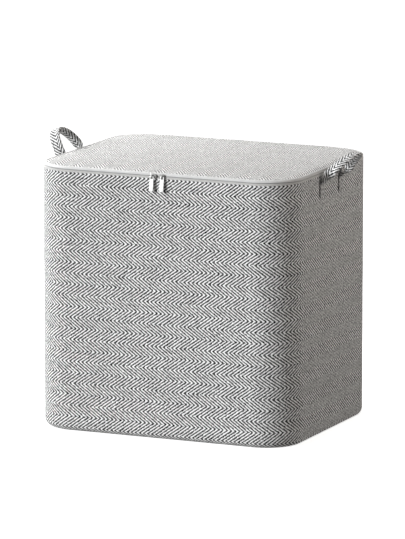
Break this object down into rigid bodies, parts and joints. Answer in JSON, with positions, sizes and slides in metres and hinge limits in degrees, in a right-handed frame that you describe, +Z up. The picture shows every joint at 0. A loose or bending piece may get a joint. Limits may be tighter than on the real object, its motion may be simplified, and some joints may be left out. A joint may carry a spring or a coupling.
{
  "type": "fabric storage bin",
  "caption": "Boxy fabric storage bin with rounded corners, a lid that zips shut round the front and sides, and a strap handle on each side.",
  "frame": {"origin": "middle of the flat underside, which rests on the floor", "axes": "+Z up; -Y is the front, where the zip sliders meet; +X is to the right of someone facing the front"},
  "size_m": [0.6059, 0.4091, 0.5174],
  "materials": {
    "herringbone": "off-white and charcoal herringbone weave, matt",
    "zip_tape": "smooth light grey woven tape",
    "lining": "light grey non-woven cloth with pressed dots",
    "board": "matt pale polypropylene board",
    "zip_coil": "grey nylon coil",
    "zip_metal": "bright satin nickel"
  },
  "bodies": {
    "bin_body": {"wall_fabric": "herringbone", "base_fabric": "herringbone", "wall_board_front": "board", "wall_board_back": "board", "base_board": "board", "wall_lining": "lining", "base_lining": "lining", "body_zip_tape": "zip_tape", "body_zip_coil": "zip_coil", "back_hinge_strip": "zip_tape", "zip_end_tab_left": "zip_tape", "zip_stop_left": "zip_metal", "handle_patch_left": "zip_tape", "handle_foot_left_front": "herringbone", "handle_foot_left_back": "herringbone", "zip_end_tab_right": "zip_tape", "zip_stop_right": "zip_metal", "handle_patch_right": "zip_tape", "handle_foot_right_front": "herringbone", "handle_foot_right_back": "herringbone"},
    "lid": {"lid_edge_tape": "zip_tape", "lid_fabric": "herringbone", "lid_board": "board", "lid_lining": "lining", "lid_zip_coil": "zip_coil"},
    "slider_left": {"slider_left": "zip_metal"},
    "pull_left": {"pull_left": "zip_metal"},
    "handle_left": {"handle_loop_left": "herringbone"},
    "slider_right": {"slider_right": "zip_metal"},
    "pull_right": {"pull_right": "zip_metal"},
    "handle_right": {"handle_loop_right": "herringbone"}
  },
  "joints": [
    {"name": "lid_hinge", "type": "hinge", "parent": "bin_body", "child": "lid", "pos_m": [0, 0.2, 0.48], "axis": [-1, 0, 0], "range_deg": [0, 260]},
    {"name": "slider_left_slide", "type": "slide", "parent": "bin_body", "child": "slider_left", "axis": [-1, 0, 0], "range_m": [0, 0.155]},
    {"name": "pull_left_hinge", "type": "hinge", "parent": "slider_left", "child": "pull_left", "pos_m": [-0.01, -0.20355, 0.47505], "axis": [-1, 0, 0], "range_deg": [-8, 170]},
    {"name": "slider_right_slide", "type": "slide", "parent": "bin_body", "child": "slider_right", "axis": [1, 0, 0], "range_m": [0, 0.155]},
    {"name": "pull_right_hinge", "type": "hinge", "parent": "slider_right", "child": "pull_right", "pos_m": [0.01, -0.20355, 0.47505], "axis": [-1, 0, 0], "range_deg": [-8, 170]},
    {"name": "handle_left_hinge", "type": "hinge", "parent": "bin_body", "child": "handle_left", "pos_m": [-0.2545, -0.008, 0.4575], "axis": [0, -1, 0], "range_deg": [-2, 118]},
    {"name": "handle_right_hinge", "type": "hinge", "parent": "bin_body", "child": "handle_right", "pos_m": [0.2545, -0.008, 0.4575], "axis": [0, 1, 0], "range_deg": [-10, 110]}
  ]
}
